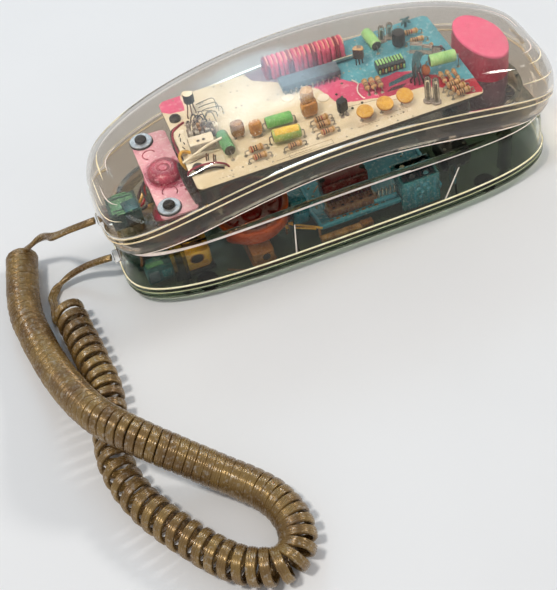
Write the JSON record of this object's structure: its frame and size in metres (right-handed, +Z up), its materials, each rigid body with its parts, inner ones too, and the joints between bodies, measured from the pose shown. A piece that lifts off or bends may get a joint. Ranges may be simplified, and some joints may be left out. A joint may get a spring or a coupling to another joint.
{
  "type": "novelty shaped telephone",
  "caption": "See-through telephone: a clear smoky handset lies across a clear base, with bright boards, coils and wires on show and a bronze curly cord.",
  "frame": {"origin": "on the table at the foot level, under the middle of the telephone", "axes": "+X along the telephone away from its cord end, +Y away from the near side, +Z up"},
  "size_m": [0.2672, 0.2166, 0.0843],
  "materials": {
    "amber_plastic": "dipped",
    "black_plastic": "moulded",
    "black_steel": "blackened",
    "blue_board": "lacquered board",
    "blue_plastic": "moulded",
    "brown_plastic": "moulded",
    "clear_base": "clear smoky moulded",
    "clear_face": "clear smoky moulded",
    "clear_top": "clear smoky moulded",
    "clear_tray": "clear smoky moulded",
    "copper": "lacquered",
    "cord": "bronze vinyl with fine strands",
    "core": "laminated",
    "cream_board": "lacquered board in cream, crimson and blue",
    "crimson_rubber": "smooth",
    "dark_plate": "gloss",
    "foot_rubber": "matte",
    "green_board": "lacquered board",
    "green_plastic": "dipped",
    "grey_chip": "moulded",
    "grey_switch": "moulded",
    "key_plastic": "moulded",
    "key_rubber": "matte",
    "orange_plastic": "moulded",
    "pink_rubber": "smooth",
    "pink_strap": "moulded",
    "pink_wire": "wire insulation",
    "plug_plastic": "clear moulded",
    "red_knob": "moulded",
    "red_plastic": "dipped",
    "resistor": "lacquered with colour bands",
    "steel": "satin",
    "teal_plastic": "moulded",
    "wire": "wire insulation",
    "yellow_ceramic": "dipped",
    "yellow_plastic": "taped winding"
  },
  "bodies": {
    "base": {"cradle_shell": "clear_base", "base_tray": "clear_tray", "base_board": "blue_board", "coil_bank": "copper", "blue_relays": "blue_plastic", "red_capacitor": "red_plastic", "ringer_drum": "orange_plastic", "ringer_mount": "brown_plastic", "line_transformer": "yellow_plastic", "transformer_core": "core", "hook_switch": "black_plastic", "hook_spring": "steel", "line_jack": "black_plastic", "base_cord_jack": "teal_plastic", "ringer_switch": "black_plastic", "base_wires": "wire", "rubber_feet": "foot_rubber", "base_screws": "steel", "curly_cord": "cord", "base_lead": "cord", "base_plug": "plug_plastic"},
    "handset": {"top_shell": "clear_top", "face_shell": "clear_face", "keypad_plate": "dark_plate", "key_membrane": "key_rubber", "keypad_board": "green_board", "main_board": "cream_board", "resistors": "resistor", "green_capacitors": "green_plastic", "disc_capacitors": "yellow_ceramic", "film_capacitors": "amber_plastic", "transistors": "black_plastic", "dialler_chips": "grey_chip", "ribbon_cable": "pink_wire", "tone_switch": "grey_switch", "receiver_capsule": "black_plastic", "receiver_boot": "pink_rubber", "microphone_boot": "crimson_rubber", "strap_bracket": "pink_strap", "strap_washers": "steel", "strap_screws": "black_steel", "handset_jack": "teal_plastic", "handset_wires": "wire", "handset_plug": "plug_plastic", "handset_lead": "cord"},
    "hook": {"hook_plunger": "key_plastic"},
    "ringer": {"ringer_knob": "red_knob"},
    "button_1": {"key_1": "key_plastic"},
    "button_2": {"key_2": "key_plastic"},
    "button_3": {"key_3": "key_plastic"},
    "button_4": {"key_4": "key_plastic"},
    "button_5": {"key_5": "key_plastic"},
    "button_6": {"key_6": "key_plastic"},
    "button_7": {"key_7": "key_plastic"},
    "button_8": {"key_8": "key_plastic"},
    "button_9": {"key_9": "key_plastic"},
    "button_star": {"key_star": "key_plastic"},
    "button_0": {"key_0": "key_plastic"},
    "button_hash": {"key_hash": "key_plastic"}
  },
  "joints": [
    {"name": "handset_lift", "type": "slide", "parent": "base", "child": "handset", "axis": [0, 0, 1], "range_m": [0, 0.06]},
    {"name": "hook_rise", "type": "slide", "parent": "base", "child": "hook", "axis": [0, 0, 1], "range_m": [0, 0.004], "deforming": ["hook_spring"]},
    {"name": "ringer_slide", "type": "slide", "parent": "base", "child": "ringer", "axis": [1, 0, 0], "range_m": [0, 0.006]},
    {"name": "press_1", "type": "slide", "parent": "handset", "child": "button_1", "axis": [0, 0, 1], "range_m": [0, 0.0015], "stiffness_N_per_m": 150},
    {"name": "press_2", "type": "slide", "parent": "handset", "child": "button_2", "axis": [0, 0, 1], "range_m": [0, 0.0015], "stiffness_N_per_m": 150},
    {"name": "press_3", "type": "slide", "parent": "handset", "child": "button_3", "axis": [0, 0, 1], "range_m": [0, 0.0015], "stiffness_N_per_m": 150},
    {"name": "press_4", "type": "slide", "parent": "handset", "child": "button_4", "axis": [0, 0, 1], "range_m": [0, 0.0015], "stiffness_N_per_m": 150},
    {"name": "press_5", "type": "slide", "parent": "handset", "child": "button_5", "axis": [0, 0, 1], "range_m": [0, 0.0015], "stiffness_N_per_m": 150},
    {"name": "press_6", "type": "slide", "parent": "handset", "child": "button_6", "axis": [0, 0, 1], "range_m": [0, 0.0015], "stiffness_N_per_m": 150},
    {"name": "press_7", "type": "slide", "parent": "handset", "child": "button_7", "axis": [0, 0, 1], "range_m": [0, 0.0015], "stiffness_N_per_m": 150},
    {"name": "press_8", "type": "slide", "parent": "handset", "child": "button_8", "axis": [0, 0, 1], "range_m": [0, 0.0015], "stiffness_N_per_m": 150},
    {"name": "press_9", "type": "slide", "parent": "handset", "child": "button_9", "axis": [0, 0, 1], "range_m": [0, 0.0015], "stiffness_N_per_m": 150},
    {"name": "press_star", "type": "slide", "parent": "handset", "child": "button_star", "axis": [0, 0, 1], "range_m": [0, 0.0015], "stiffness_N_per_m": 150},
    {"name": "press_0", "type": "slide", "parent": "handset", "child": "button_0", "axis": [0, 0, 1], "range_m": [0, 0.0015], "stiffness_N_per_m": 150},
    {"name": "press_hash", "type": "slide", "parent": "handset", "child": "button_hash", "axis": [0, 0, 1], "range_m": [0, 0.0015], "stiffness_N_per_m": 150}
  ],
  "couplings": [
    {"joint": "hook_rise", "follows": "handset_lift", "ratio": 0.0666}
  ]
}
